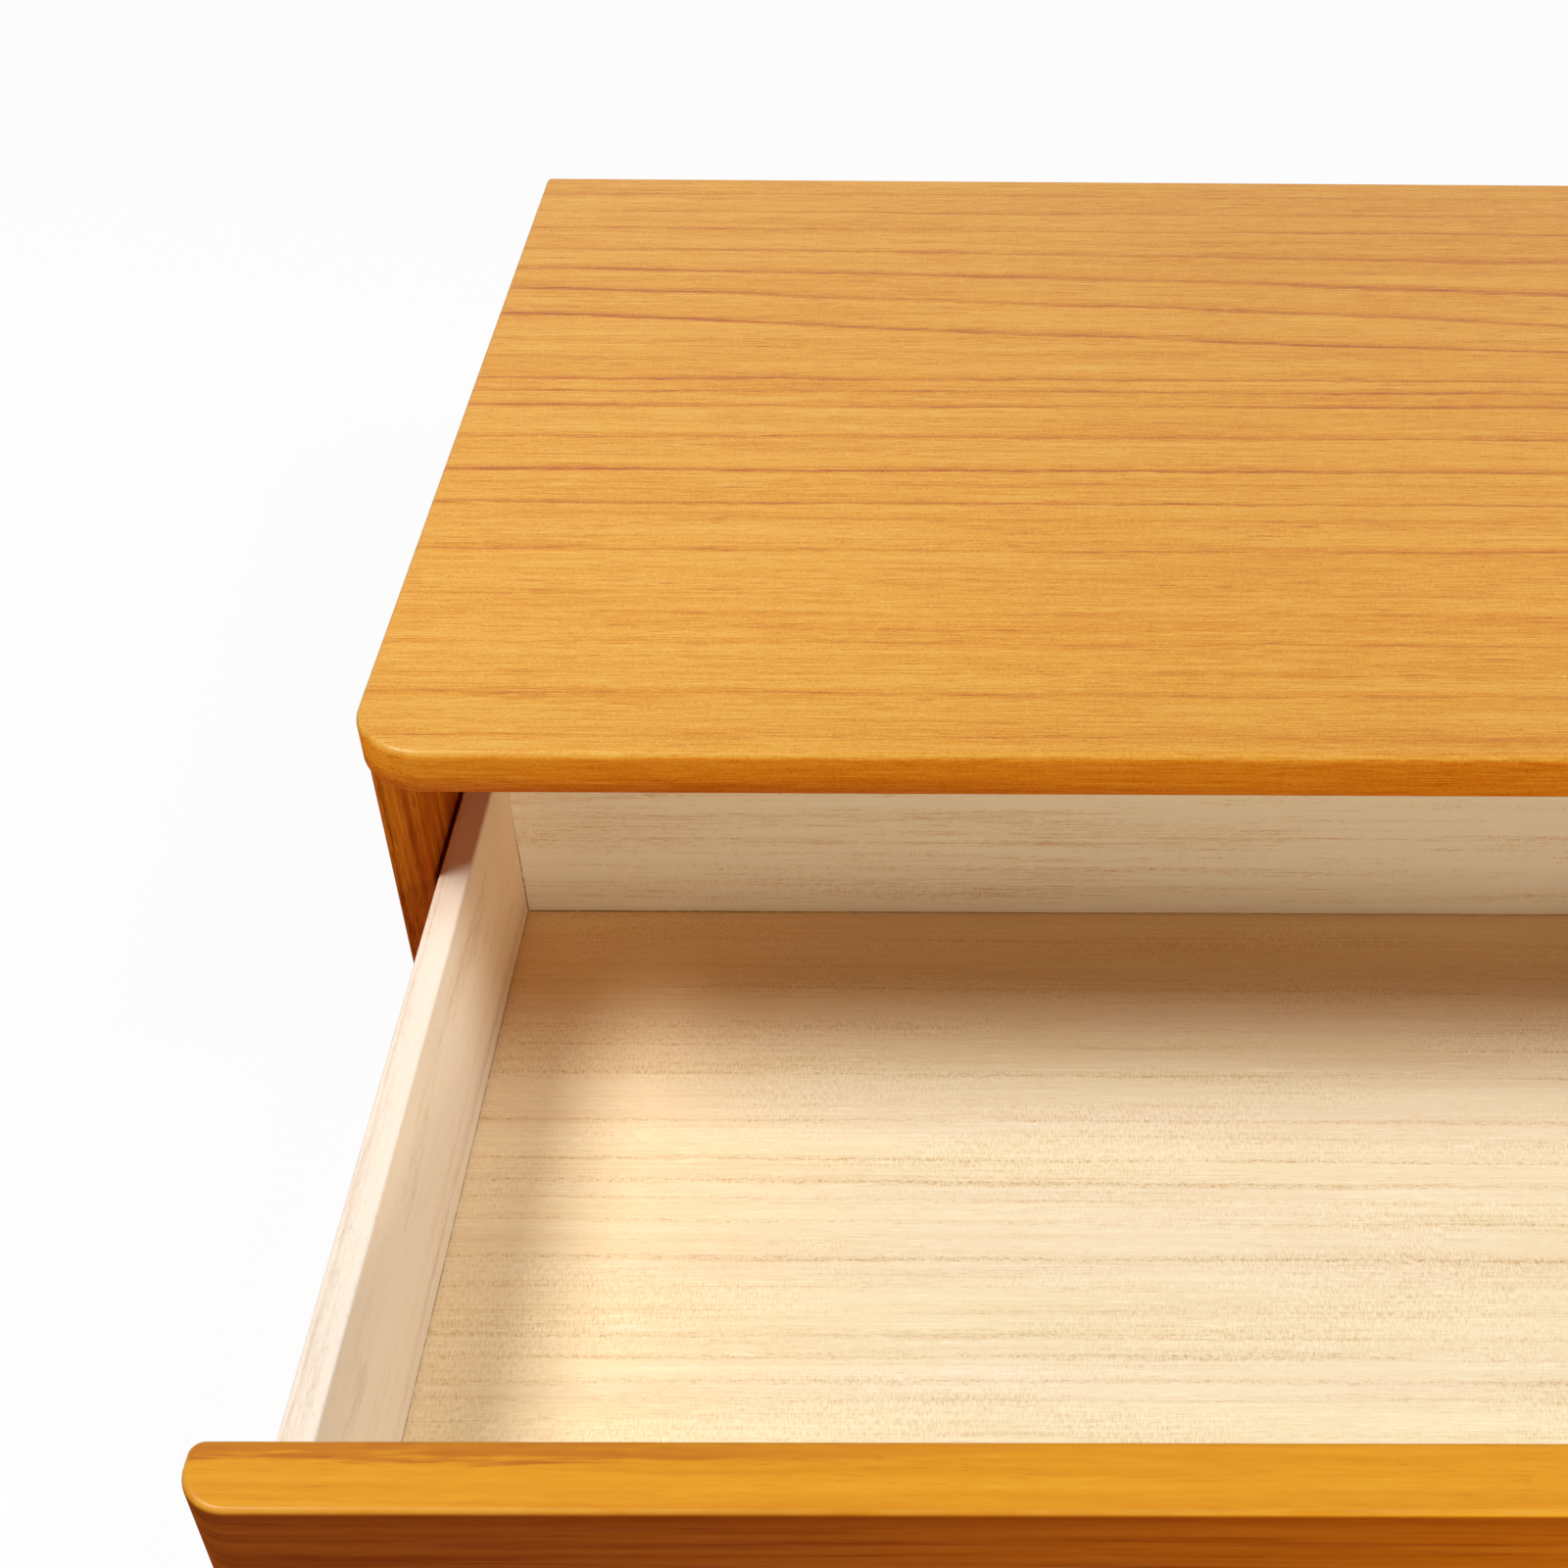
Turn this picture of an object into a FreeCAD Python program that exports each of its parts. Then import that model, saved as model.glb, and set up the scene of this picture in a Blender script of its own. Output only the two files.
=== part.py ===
"""Wooden desktop drawer unit: a case open at the front, and one full-width drawer on side runners.

The frame is the case's own: X to the right, Y to the back, Z up, in millimetres. The origin is on the desk,
under the middle of the top board. The drawer is written pulled out, with only its rear end still in the case.
"""

import FreeCAD
import Part
import math
import os

# Case
CASE_WIDTH = 480.0
CASE_DEPTH = 310.0
CASE_HEIGHT = 130.0
TOP_THICKNESS = 12.0
TOP_CORNER_RADIUS = 19.0
TOP_UPPER_EDGE_RADIUS = 2.0
TOP_LOWER_EDGE_RADIUS = 0.8
PANEL_THICKNESS = 10.0
PANEL_EDGE_RADIUS = 0.8
BOTTOM_THICKNESS = 9.0
BACK_THICKNESS = 5.5
BACK_REBATE = 5.0
RAIL_HEIGHT = 20.0
RAIL_THICKNESS = 12.0

# Drawer front
FRONT_THICKNESS = 16.0
FRONT_END_INSET = 2.0
FRONT_OUTER_END_RADIUS = 6.5
FRONT_INNER_END_RADIUS = 4.5
FRONT_TOP_EDGE_RADIUS = 1.5
FRONT_LOW_EDGE_RADIUS = 1.0
FRONT_FINGER_GAP = 24.0
FRONT_DESK_CLEARANCE = 3.0
FRONT_CLOSING_GAP = 1.5

# Drawer box
BOX_BOARD = 8.0
BOX_SIDE_CLEARANCE = 1.2
BOX_BASE_CLEARANCE = 3.0
BOX_TOP_DROP = 19.0
BOX_REAR_SPACE = 52.5
BOX_KEPT_INSIDE = 56.5
BOX_EDGE_RADIUS = 0.8
FINGER_COUNT = 5
DRAWER_BOTTOM_THICKNESS = 4.0
DRAWER_BOTTOM_LIP = 3.0
DRAWER_BOTTOM_HOUSING = 3.5

# Runners and stops
RUNNER_HEIGHT = 10.0
RUNNER_FRONT_SETBACK = 10.0
RUNNER_REAR_SETBACK = 12.0
GROOVE_DEPTH = 4.0
GROOVE_CLEARANCE = 0.3
GROOVE_END_CLEARANCE = 2.0
STOP_WIDTH = 24.0
STOP_LENGTH = 20.0
STOP_HEIGHT = 12.0
STOP_INSET = 60.0
STOP_CLEARANCE = 0.2
STOP_EDGE_RADIUS = 1.5

# Fasteners, drawn with flat facets. Each ends a cover short of the far face of the last board it enters
ROD_FACETS = 8
WIRE_FACETS = 6
DOWEL_DIAMETER = 6.0
DOWEL_LENGTH = 28.0
DOWEL_CHAMFER = 1.0
DOWEL_COVER = 3.0
DOWELS_PER_JOINT = 3
DOWEL_END_DISTANCE = 40.0
PIN_DIAMETER = 2.5
PIN_LENGTH = 20.0
SCREW_DIAMETER = 3.0
SCREW_HEAD_DIAMETER = 6.0
SCREW_POINT = 3.0
SCREW_TIP_DIAMETER = 0.4
SCREW_COVER = 3.0
RUNNER_SCREW_COUNT = 3
RUNNER_SCREW_END_DISTANCE = 25.0
FRONT_SCREW_COUNT = 4
FRONT_SCREW_END_DISTANCE = 38.0
NAIL_DIAMETER = 1.4
NAIL_HEAD_DIAMETER = 3.0
NAIL_HEAD_TAPER = 1.0
NAIL_COVER = 2.5
NAIL_COLUMN_COUNT = 3
NAIL_ROW_COUNT = 5
NAIL_END_DISTANCE = 30.0

# Two lengths closer than this are the same, and a half-round end keeps this much flat between its fillets
TOLERANCE = 1e-6
HALF_ROUND_FLAT = 2e-4

LEFT = -1
RIGHT = 1
SIDES = {"left": LEFT, "right": RIGHT}
UP = FreeCAD.Vector(0, 0, 1)
FORWARD = FreeCAD.Vector(0, -1, 0)

# Planes of the case
CASE_HALF = CASE_WIDTH / 2
INNER_HALF = CASE_HALF - PANEL_THICKNESS
TOP_FRONT = -CASE_DEPTH / 2
CASE_REAR = CASE_DEPTH / 2
TOP_UNDERSIDE = CASE_HEIGHT - TOP_THICKNESS
PANEL_FRONT = TOP_FRONT + FRONT_THICKNESS + FRONT_CLOSING_GAP
BACK_FACE = CASE_REAR - BACK_THICKNESS
RAIL_FACE = BACK_FACE - RAIL_THICKNESS
RAIL_UNDERSIDE = TOP_UNDERSIDE - RAIL_HEIGHT

# Shut, the drawer front lies under the top board's front edge. Open, the box's rear end is still in the case
SHUT_BOX_FRONT = TOP_FRONT + FRONT_THICKNESS
SHUT_BOX_REAR = BACK_FACE - BOX_REAR_SPACE
BOX_REAR = PANEL_FRONT + BOX_KEPT_INSIDE
OPENED = SHUT_BOX_REAR - BOX_REAR
BOX_FRONT = SHUT_BOX_FRONT - OPENED
BOX_HALF = INNER_HALF - BOX_SIDE_CLEARANCE
BOX_BASE = BOTTOM_THICKNESS + BOX_BASE_CLEARANCE
FRONT_TOP = TOP_UNDERSIDE - FRONT_FINGER_GAP
BOX_TOP = FRONT_TOP - BOX_TOP_DROP
BOX_MIDDLE = (BOX_BASE + BOX_TOP) / 2
FINGER_HEIGHT = (BOX_TOP - BOX_BASE) / FINGER_COUNT
DRAWER_FLOOR = BOX_BASE + DRAWER_BOTTOM_LIP + DRAWER_BOTTOM_THICKNESS
FRONT_CORNER = (BOX_FRONT, BOX_FRONT + BOX_BOARD)
REAR_CORNER = (BOX_REAR - BOX_BOARD, BOX_REAR)

# The runner lies in the groove of the drawer side, at half the box's height
RUNNER_TIP = BOX_HALF - GROOVE_DEPTH + GROOVE_CLEARANCE
RUNNER_FRONT = PANEL_FRONT + RUNNER_FRONT_SETBACK
RUNNER_REAR = BACK_FACE - RUNNER_REAR_SETBACK
GROOVE_HEIGHT = RUNNER_HEIGHT + 2 * GROOVE_CLEARANCE
GROOVE_FRONT = RUNNER_FRONT - GROOVE_END_CLEARANCE - OPENED

RUNNER_SCREW_LENGTH = CASE_HALF - RUNNER_TIP - SCREW_COVER
FRONT_SCREW_LENGTH = BOX_BOARD + FRONT_THICKNESS - SCREW_COVER
NAIL_LENGTH = BACK_THICKNESS + RAIL_THICKNESS - NAIL_COVER


def box(x, y, z):
    """A box between two values along each axis."""
    low = FreeCAD.Vector(min(x), min(y), min(z))
    high = FreeCAD.Vector(max(x), max(y), max(z))
    size = high - low
    return Part.makeBox(size.x, size.y, size.z, low)


def near(a, b):
    return abs(a - b) < TOLERANCE


def rounded(solid, radius, wanted):
    """The solid with every edge rounded whose bounding box the test picks."""
    edges = [edge for edge in solid.Edges if wanted(edge.BoundBox)]
    return solid.makeFillet(radius, edges)


def upright(bounds):
    return near(bounds.XMin, bounds.XMax) and near(bounds.YMin, bounds.YMax)


def evenly(start, end, count):
    """Places from start to end, both included."""
    step = (end - start) / (count - 1)
    return [start + step * i for i in range(count)]


def inward(side):
    """The direction from one side of the case towards its middle."""
    return FreeCAD.Vector(-side, 0, 0)


def ring(diameter, height, facets):
    """A regular polygon across the Z axis, closed, with its corners on the diameter."""
    radius = diameter / 2
    corners = []
    for index in range(facets + 1):
        angle = 2 * math.pi * index / facets
        corners.append(FreeCAD.Vector(radius * math.cos(angle), radius * math.sin(angle), height))
    return Part.makePolygon(corners)


def turned(profile, facets, start, direction):
    """A faceted turned solid, from the distances along its axis and the diameters there."""
    rings = [ring(diameter, height, facets) for height, diameter in profile]
    solid = Part.makeLoft(rings, True, True)
    solid.Placement = FreeCAD.Placement(start, FreeCAD.Rotation(UP, direction))
    return solid


def dowel_hole(start, direction):
    profile = [(0, DOWEL_DIAMETER), (DOWEL_LENGTH, DOWEL_DIAMETER)]
    return turned(profile, ROD_FACETS, start, direction)


def dowel(start, direction):
    """A dowel with chamfered ends."""
    end = DOWEL_DIAMETER - 2 * DOWEL_CHAMFER
    profile = [
        (0, end),
        (DOWEL_CHAMFER, DOWEL_DIAMETER),
        (DOWEL_LENGTH - DOWEL_CHAMFER, DOWEL_DIAMETER),
        (DOWEL_LENGTH, end),
    ]
    return turned(profile, ROD_FACETS, start, direction)


def corner_pin(start, direction):
    profile = [(0, PIN_DIAMETER), (PIN_LENGTH, PIN_DIAMETER)]
    return turned(profile, WIRE_FACETS, start, direction)


def screw(head_centre, direction, length):
    """A countersunk screw: its flat head lies in the surface, and it ends in a point."""
    profile = [
        (0, SCREW_HEAD_DIAMETER),
        ((SCREW_HEAD_DIAMETER - SCREW_DIAMETER) / 2, SCREW_DIAMETER),
        (length - SCREW_POINT, SCREW_DIAMETER),
        (length, SCREW_TIP_DIAMETER),
    ]
    return turned(profile, ROD_FACETS, head_centre, direction)


def runner_screw(head_centre, direction):
    return screw(head_centre, direction, RUNNER_SCREW_LENGTH)


def front_screw(head_centre, direction):
    return screw(head_centre, direction, FRONT_SCREW_LENGTH)


def nail(head_centre, direction):
    """A nail with a flat head that tapers into its shank, driven flush."""
    profile = [(0, NAIL_HEAD_DIAMETER), (NAIL_HEAD_TAPER, NAIL_DIAMETER), (NAIL_LENGTH, NAIL_DIAMETER)]
    return turned(profile, WIRE_FACETS, head_centre, direction)


def panel_dowel_depths():
    """The places, from front to back, of the dowels along a side panel."""
    return evenly(PANEL_FRONT + DOWEL_END_DISTANCE, RAIL_FACE - DOWEL_END_DISTANCE, DOWELS_PER_JOINT)


def top_dowels():
    x = CASE_HALF - PANEL_THICKNESS / 2
    z = CASE_HEIGHT - DOWEL_COVER - DOWEL_LENGTH
    return [(FreeCAD.Vector(side * x, y, z), UP) for side in SIDES.values() for y in panel_dowel_depths()]


def cross_dowels(depths, z):
    """Dowels from the side panels into a board between them."""
    x = CASE_HALF - DOWEL_COVER
    return [(FreeCAD.Vector(side * x, y, z), inward(side)) for side in SIDES.values() for y in depths]


def bottom_dowels():
    return cross_dowels(panel_dowel_depths(), BOTTOM_THICKNESS / 2)


def rail_dowels():
    return cross_dowels([(RAIL_FACE + BACK_FACE) / 2], (RAIL_UNDERSIDE + TOP_UNDERSIDE) / 2)


def runner_screws(side):
    first = RUNNER_FRONT + RUNNER_SCREW_END_DISTANCE
    last = RUNNER_REAR - RUNNER_SCREW_END_DISTANCE
    depths = evenly(first, last, RUNNER_SCREW_COUNT)
    return [(FreeCAD.Vector(side * RUNNER_TIP, y, BOX_MIDDLE), -inward(side)) for y in depths]


def front_screws():
    reach = BOX_HALF - FRONT_SCREW_END_DISTANCE
    depth = BOX_FRONT + BOX_BOARD
    return [(FreeCAD.Vector(x, depth, BOX_MIDDLE), FORWARD) for x in evenly(-reach, reach, FRONT_SCREW_COUNT)]


def back_nails():
    """Nails through the back panel into the side panels, the bottom panel and the rear rail."""
    column = INNER_HALF + BACK_REBATE / 2
    heights = evenly(NAIL_END_DISTANCE, TOP_UNDERSIDE - NAIL_END_DISTANCE, NAIL_COLUMN_COUNT)
    reach = INNER_HALF - NAIL_END_DISTANCE
    across = evenly(-reach, reach, NAIL_ROW_COUNT)
    places = [(side * column, z) for side in SIDES.values() for z in heights]
    places += [(x, BOTTOM_THICKNESS / 2) for x in across]
    places += [(x, (RAIL_UNDERSIDE + TOP_UNDERSIDE) / 2) for x in across]
    return [(FreeCAD.Vector(x, CASE_REAR, z), FORWARD) for x, z in places]


def corner_pins():
    """Pins through each side's lowest and highest finger, into the end grain of the cross boards."""
    above_floor = (DRAWER_FLOOR + BOX_BASE + FINGER_HEIGHT) / 2
    heights = [above_floor, BOX_TOP - FINGER_HEIGHT / 2]
    depths = [sum(corner) / 2 for corner in (FRONT_CORNER, REAR_CORNER)]
    return [
        (FreeCAD.Vector(side * BOX_HALF, y, z), inward(side))
        for side in SIDES.values()
        for y in depths
        for z in heights
    ]


def drilled(solid, fastener, places):
    """The solid less what its fasteners fill."""
    return solid.cut([fastener(*place) for place in places])


def group(fastener, places):
    return Part.makeCompound([fastener(*place) for place in places])


def top_board():
    """The top: round front corners, square rear ones, and eased front and side edges."""
    board = box((-CASE_HALF, CASE_HALF), (TOP_FRONT, CASE_REAR), (TOP_UNDERSIDE, CASE_HEIGHT))
    board = rounded(board, TOP_CORNER_RADIUS, lambda b: upright(b) and near(b.YMin, TOP_FRONT))

    def level_except_rear(z):
        return lambda b: near(b.ZMin, z) and near(b.ZMax, z) and not near(b.YMin, CASE_REAR)

    board = rounded(board, TOP_UPPER_EDGE_RADIUS, level_except_rear(CASE_HEIGHT))
    board = rounded(board, TOP_LOWER_EDGE_RADIUS, level_except_rear(TOP_UNDERSIDE))
    return drilled(board, dowel_hole, top_dowels())


def side_panel(side):
    """A side panel, rebated at the rear for the back panel and eased along its front edge."""
    panel = box((side * INNER_HALF, side * CASE_HALF), (PANEL_FRONT, CASE_REAR), (0, TOP_UNDERSIDE))
    panel = rounded(panel, PANEL_EDGE_RADIUS, lambda b: upright(b) and near(b.YMin, PANEL_FRONT))
    panel = panel.cut(back_panel_blank())
    panel = drilled(panel, dowel_hole, top_dowels() + bottom_dowels() + rail_dowels())
    panel = drilled(panel, runner_screw, runner_screws(side))
    return drilled(panel, nail, back_nails())


def bottom_panel():
    panel = box((-INNER_HALF, INNER_HALF), (PANEL_FRONT, BACK_FACE), (0, BOTTOM_THICKNESS))
    panel = rounded(panel, PANEL_EDGE_RADIUS, lambda b: near(b.YMax, PANEL_FRONT) and near(b.ZMin, b.ZMax))
    panel = drilled(panel, dowel_hole, bottom_dowels())
    return drilled(panel, nail, back_nails())


def back_panel_blank():
    half = INNER_HALF + BACK_REBATE
    return box((-half, half), (BACK_FACE, CASE_REAR), (0, TOP_UNDERSIDE))


def back_panel():
    return drilled(back_panel_blank(), nail, back_nails())


def rear_rail():
    """A rail under the rear of the top board, which stiffens it and holds the back panel's upper edge."""
    rail = box((-INNER_HALF, INNER_HALF), (RAIL_FACE, BACK_FACE), (RAIL_UNDERSIDE, TOP_UNDERSIDE))
    rail = drilled(rail, dowel_hole, rail_dowels())
    return drilled(rail, nail, back_nails())


def bar(x, front, rear, height):
    """A bar along Y with a half-round front end: the runner, or the groove that it lies in."""
    low = BOX_MIDDLE - height / 2
    radius = (height - HALF_ROUND_FLAT) / 2
    solid = box(x, (front, rear), (low, low + height))
    return rounded(solid, radius, lambda b: near(b.YMax, front) and near(b.ZMin, b.ZMax))


def runner(side):
    """A hardwood strip on the side panel, which the groove of the drawer side slides along."""
    strip = bar((side * RUNNER_TIP, side * INNER_HALF), RUNNER_FRONT, RUNNER_REAR, RUNNER_HEIGHT)
    return drilled(strip, runner_screw, runner_screws(side))


def runner_groove(side):
    return bar((side * (BOX_HALF - GROOVE_DEPTH), side * BOX_HALF), GROOVE_FRONT, BOX_REAR, GROOVE_HEIGHT)


def stop_block(side):
    """A block on the bottom panel that the drawer back meets when the drawer is shut."""
    outer = side * (INNER_HALF - STOP_INSET)
    front = SHUT_BOX_REAR + STOP_CLEARANCE
    top = BOTTOM_THICKNESS + STOP_HEIGHT
    block = box((outer, outer - side * STOP_WIDTH), (front, front + STOP_LENGTH), (BOTTOM_THICKNESS, top))
    return rounded(block, STOP_EDGE_RADIUS, lambda b: near(b.ZMin, top))


def drawer_front():
    """The thick front that covers the case's front edges. Its ends are rounded, more so at the outer face."""
    half = CASE_HALF - FRONT_END_INSET
    outer = BOX_FRONT - FRONT_THICKNESS
    front = box((-half, half), (outer, BOX_FRONT), (FRONT_DESK_CLEARANCE, FRONT_TOP))
    front = rounded(front, FRONT_OUTER_END_RADIUS, lambda b: upright(b) and near(b.YMin, outer))
    front = rounded(front, FRONT_INNER_END_RADIUS, lambda b: upright(b) and near(b.YMin, BOX_FRONT))
    front = rounded(front, FRONT_TOP_EDGE_RADIUS, lambda b: near(b.ZMin, FRONT_TOP))
    front = rounded(front, FRONT_LOW_EDGE_RADIUS, lambda b: near(b.ZMax, FRONT_DESK_CLEARANCE))
    return drilled(front, front_screw, front_screws())


def without_fingers(board, side, corner, first):
    """The board less every second finger of one corner, counted from the lowest."""
    x = (side * (BOX_HALF - BOX_BOARD), side * BOX_HALF)
    for index in range(first, FINGER_COUNT, 2):
        low = BOX_BASE + index * FINGER_HEIGHT
        board = board.cut(box(x, corner, (low, low + FINGER_HEIGHT)))
    return board


def drawer_side(side):
    """A drawer side: fingers at both ends, the runner's groove outside and the bottom's groove inside."""
    board = box((side * (BOX_HALF - BOX_BOARD), side * BOX_HALF), (BOX_FRONT, BOX_REAR), (BOX_BASE, BOX_TOP))
    board = rounded(board, BOX_EDGE_RADIUS, lambda b: near(b.ZMin, BOX_TOP) and near(b.XMin, b.XMax))
    for corner in (FRONT_CORNER, REAR_CORNER):
        board = without_fingers(board, side, corner, 1)
    board = board.cut(runner_groove(side)).cut(drawer_bottom())
    return drilled(board, corner_pin, corner_pins())


def cross_board(corner):
    """The drawer back or the inner front, whose fingers fill the notches of both sides."""
    board = box((-BOX_HALF, BOX_HALF), corner, (BOX_BASE, BOX_TOP))
    board = rounded(board, BOX_EDGE_RADIUS, lambda b: near(b.ZMin, BOX_TOP) and near(b.YMin, b.YMax))
    for side in SIDES.values():
        board = without_fingers(board, side, corner, 0)
    return drilled(board.cut(drawer_bottom()), corner_pin, corner_pins())


def drawer_inner_front():
    return drilled(cross_board(FRONT_CORNER), front_screw, front_screws())


def drawer_bottom():
    """A thin panel housed in grooves of all four boards of the drawer box."""
    half = BOX_HALF - BOX_BOARD + DRAWER_BOTTOM_HOUSING
    y = (FRONT_CORNER[1] - DRAWER_BOTTOM_HOUSING, REAR_CORNER[0] + DRAWER_BOTTOM_HOUSING)
    return box((-half, half), y, (BOX_BASE + DRAWER_BOTTOM_LIP, DRAWER_FLOOR))


def nodes():
    """Every piece by its name."""
    pieces = {
        "top_board": top_board(),
        "bottom_panel": bottom_panel(),
        "back_panel": back_panel(),
        "rear_rail": rear_rail(),
        "top_dowels": group(dowel, top_dowels()),
        "bottom_dowels": group(dowel, bottom_dowels()),
        "rail_dowels": group(dowel, rail_dowels()),
        "back_panel_nails": group(nail, back_nails()),
        "runner_screws": group(runner_screw, runner_screws(LEFT) + runner_screws(RIGHT)),
        "drawer_front": drawer_front(),
        "drawer_inner_front": drawer_inner_front(),
        "drawer_back": cross_board(REAR_CORNER),
        "drawer_bottom": drawer_bottom(),
        "drawer_front_screws": group(front_screw, front_screws()),
        "drawer_corner_pins": group(corner_pin, corner_pins()),
    }
    for name, side in SIDES.items():
        pieces[f"{name}_side_panel"] = side_panel(side)
        pieces[f"{name}_runner"] = runner(side)
        pieces[f"{name}_stop_block"] = stop_block(side)
        pieces[f"drawer_{name}_side"] = drawer_side(side)
    return pieces


def main():
    os.makedirs("parts", exist_ok=True)
    for name, shape in nodes().items():
        shape.exportStep(f"parts/{name}.step")
        print(f"{name}: {len(shape.Solids)} solids, valid {shape.isValid()}, {shape.Volume:.0f} mm3")
    print(f"the drawer is shown open by {OPENED:.1f} mm")


main()
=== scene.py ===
"""The wooden drawer unit's finishes, rounded boards, fasteners, light and camera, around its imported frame.

Everything is in metres and in the frame's own axes: X to the right, Y to the back, Z up from the desk.
Sizes that are easier to read in millimetres are written so and multiplied by MM.
"""

import math

import bmesh
import bpy
from mathutils import Matrix, Vector


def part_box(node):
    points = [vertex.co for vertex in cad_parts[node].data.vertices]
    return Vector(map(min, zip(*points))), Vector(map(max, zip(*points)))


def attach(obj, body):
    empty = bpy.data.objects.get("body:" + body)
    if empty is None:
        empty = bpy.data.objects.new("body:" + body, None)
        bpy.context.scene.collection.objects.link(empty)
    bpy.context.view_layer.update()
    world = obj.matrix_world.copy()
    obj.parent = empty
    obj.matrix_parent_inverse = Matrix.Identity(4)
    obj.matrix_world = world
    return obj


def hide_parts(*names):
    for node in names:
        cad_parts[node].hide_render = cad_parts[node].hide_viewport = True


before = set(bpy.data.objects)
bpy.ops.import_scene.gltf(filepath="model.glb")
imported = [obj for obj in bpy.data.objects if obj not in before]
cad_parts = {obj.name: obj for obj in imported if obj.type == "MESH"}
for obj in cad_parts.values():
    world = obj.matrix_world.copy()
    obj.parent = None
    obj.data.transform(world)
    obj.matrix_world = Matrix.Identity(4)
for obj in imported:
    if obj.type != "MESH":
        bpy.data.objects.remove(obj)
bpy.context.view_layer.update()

MM = 0.001
NEAR = 0.01 * MM
Y_AXIS, Z_AXIS = 1, 2

# Camera, solved on the edges of the boards: its turns are in degrees, its focal length in millimetres
CAMERA_PLACE = (-0.0847, -0.5715, 0.4667)
CAMERA_PITCH = 39.64
CAMERA_YAW = -0.66
CAMERA_ROLL = 0.68
FOCAL_LENGTH = 52.4
CAMERA_SHIFT = -0.1522
CAMERA_NEAREST = 0.01

# Soft studio light: round lamps overhead, left and right of the drawer, a low one in front, a dim surround
OVERHEAD_LAMP_REACH = 0.92
OVERHEAD_LAMP_DEPTH = -0.275
OVERHEAD_LAMP_HEIGHT = 1.34
OVERHEAD_LAMP_SIZE = (0.68, 0.78)
OVERHEAD_LAMP_POWER = {"left": 18.0, "right": 16.8}
FRONT_LAMP_PLACE = (0.9, -1.4, 0.45)
FRONT_LAMP_TARGET = (0.0, -0.2, 0.06)
FRONT_LAMP_SIZE = (0.9, 0.16)
FRONT_LAMP_POWER = 6.8
FRONT_LAMP_COLOUR = (1.0, 0.90, 0.74)
SURROUND = 0.02
SURROUND_COLOUR = (1.0, 0.82, 0.58, 1.0)
WHITE = (1.0, 1.0, 1.0, 1.0)
FLOOR_HALF = 6.0
FLOOR_COLOUR = (0.86, 0.86, 0.85, 1.0)
FLOOR_SHADE = 0.06

# Turns that lay a board's grain along the pattern's own X
GRAIN_TURN = {
    "X": (0.0, 0.0, 0.0),
    "Y": (0.0, 0.0, -math.pi / 2),
    "Z": (0.0, math.pi / 2, 0.0),
}

# Late-wood lines of the top board and the drawer bottom: (place across the board, strength, half width)
# The places and widths are in millimetres on the board's upper face; a strength of 1 is the boldest line.
TOP_FACE = 130.0
TOP_RINGS = (
    (-149, 0.20, 0.5), (-143, 0.20, 0.4), (-132, 0.35, 0.5), (-124, 0.25, 0.5), (-111, 0.25, 0.5),
    (-105, 0.32, 0.5), (-98, 0.22, 0.5), (-89, 0.20, 0.4), (-68, 0.45, 0.6), (-54, 0.20, 0.5),
    (-46, 0.70, 0.6), (-36, 0.20, 0.5), (-29, 0.80, 0.7), (-11, 0.60, 0.8), (6, 0.60, 0.7), (14, 0.55, 0.6),
    (21, 0.65, 0.7), (33, 0.25, 0.6), (45, 0.20, 0.5), (60.5, 0.80, 0.9), (77, 0.70, 0.8), (90, 0.65, 0.8),
    (103, 0.50, 0.8), (118, 0.48, 0.7), (131, 0.42, 0.7), (144, 0.30, 0.6),
)
BOTTOM_FACE = 19.0
BOTTOM_RINGS = (
    (-301, 0.30, 0.4), (-292, 0.40, 0.6), (-284, 0.30, 0.5), (-275, 0.40, 0.5), (-265, 0.30, 0.4),
    (-255, 0.45, 0.8), (-250, 0.60, 0.8), (-243, 0.60, 0.8), (-237, 0.65, 0.9), (-230, 0.35, 0.6),
    (-222, 0.35, 0.5), (-213.5, 0.80, 0.6), (-202, 0.50, 0.6), (-195, 0.50, 0.5), (-189.5, 0.75, 0.9),
    (-182, 0.90, 0.35), (-169, 0.70, 0.5), (-153, 0.60, 0.5), (-143, 0.45, 0.5), (-136, 0.45, 0.4),
    (-121, 0.35, 0.5), (-102, 0.30, 0.5),
)

# Inside of the drawer box, in millimetres: half its width, and the middle and half of its length
BOX_INNER_HALF = 220.8
BOX_MIDDLE = -199.0
BOX_INNER_LENGTH_HALF = 110.0

# Fasteners, in millimetres: the faces they are driven into, how far their heads stand proud, their places
SCREW_LINE = 43.5
RUNNER_FACE = 225.1
INNER_FRONT_FACE = -309.0
BOX_FACE = 228.8
REAR_FACE = 155.0
PROUD = 0.06
FRONT_SCREWS_ALONG = (-190.8, -63.6, 63.6, 190.8)
RUNNER_SCREWS_ALONG = (-102.5, 5.0, 112.5)
NAIL_COLUMNS = (-232.5, 232.5)
NAILS_UP_COLUMN = (30.0, 59.0, 88.0)
NAIL_ROWS = (4.5, 108.0)
NAILS_ALONG_ROW = (-200.0, -100.0, 0.0, 100.0, 200.0)
PIN_DEPTHS = (-313.0, -85.0)
PIN_HEIGHTS = (21.8, 68.7)
FRONT_SCREW_LENGTH = 21.0
RUNNER_SCREW_LENGTH = 11.9
NAIL_LENGTH = 15.0
PIN_LENGTH = 20.0
TURNED_SEGMENTS = 24


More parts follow.
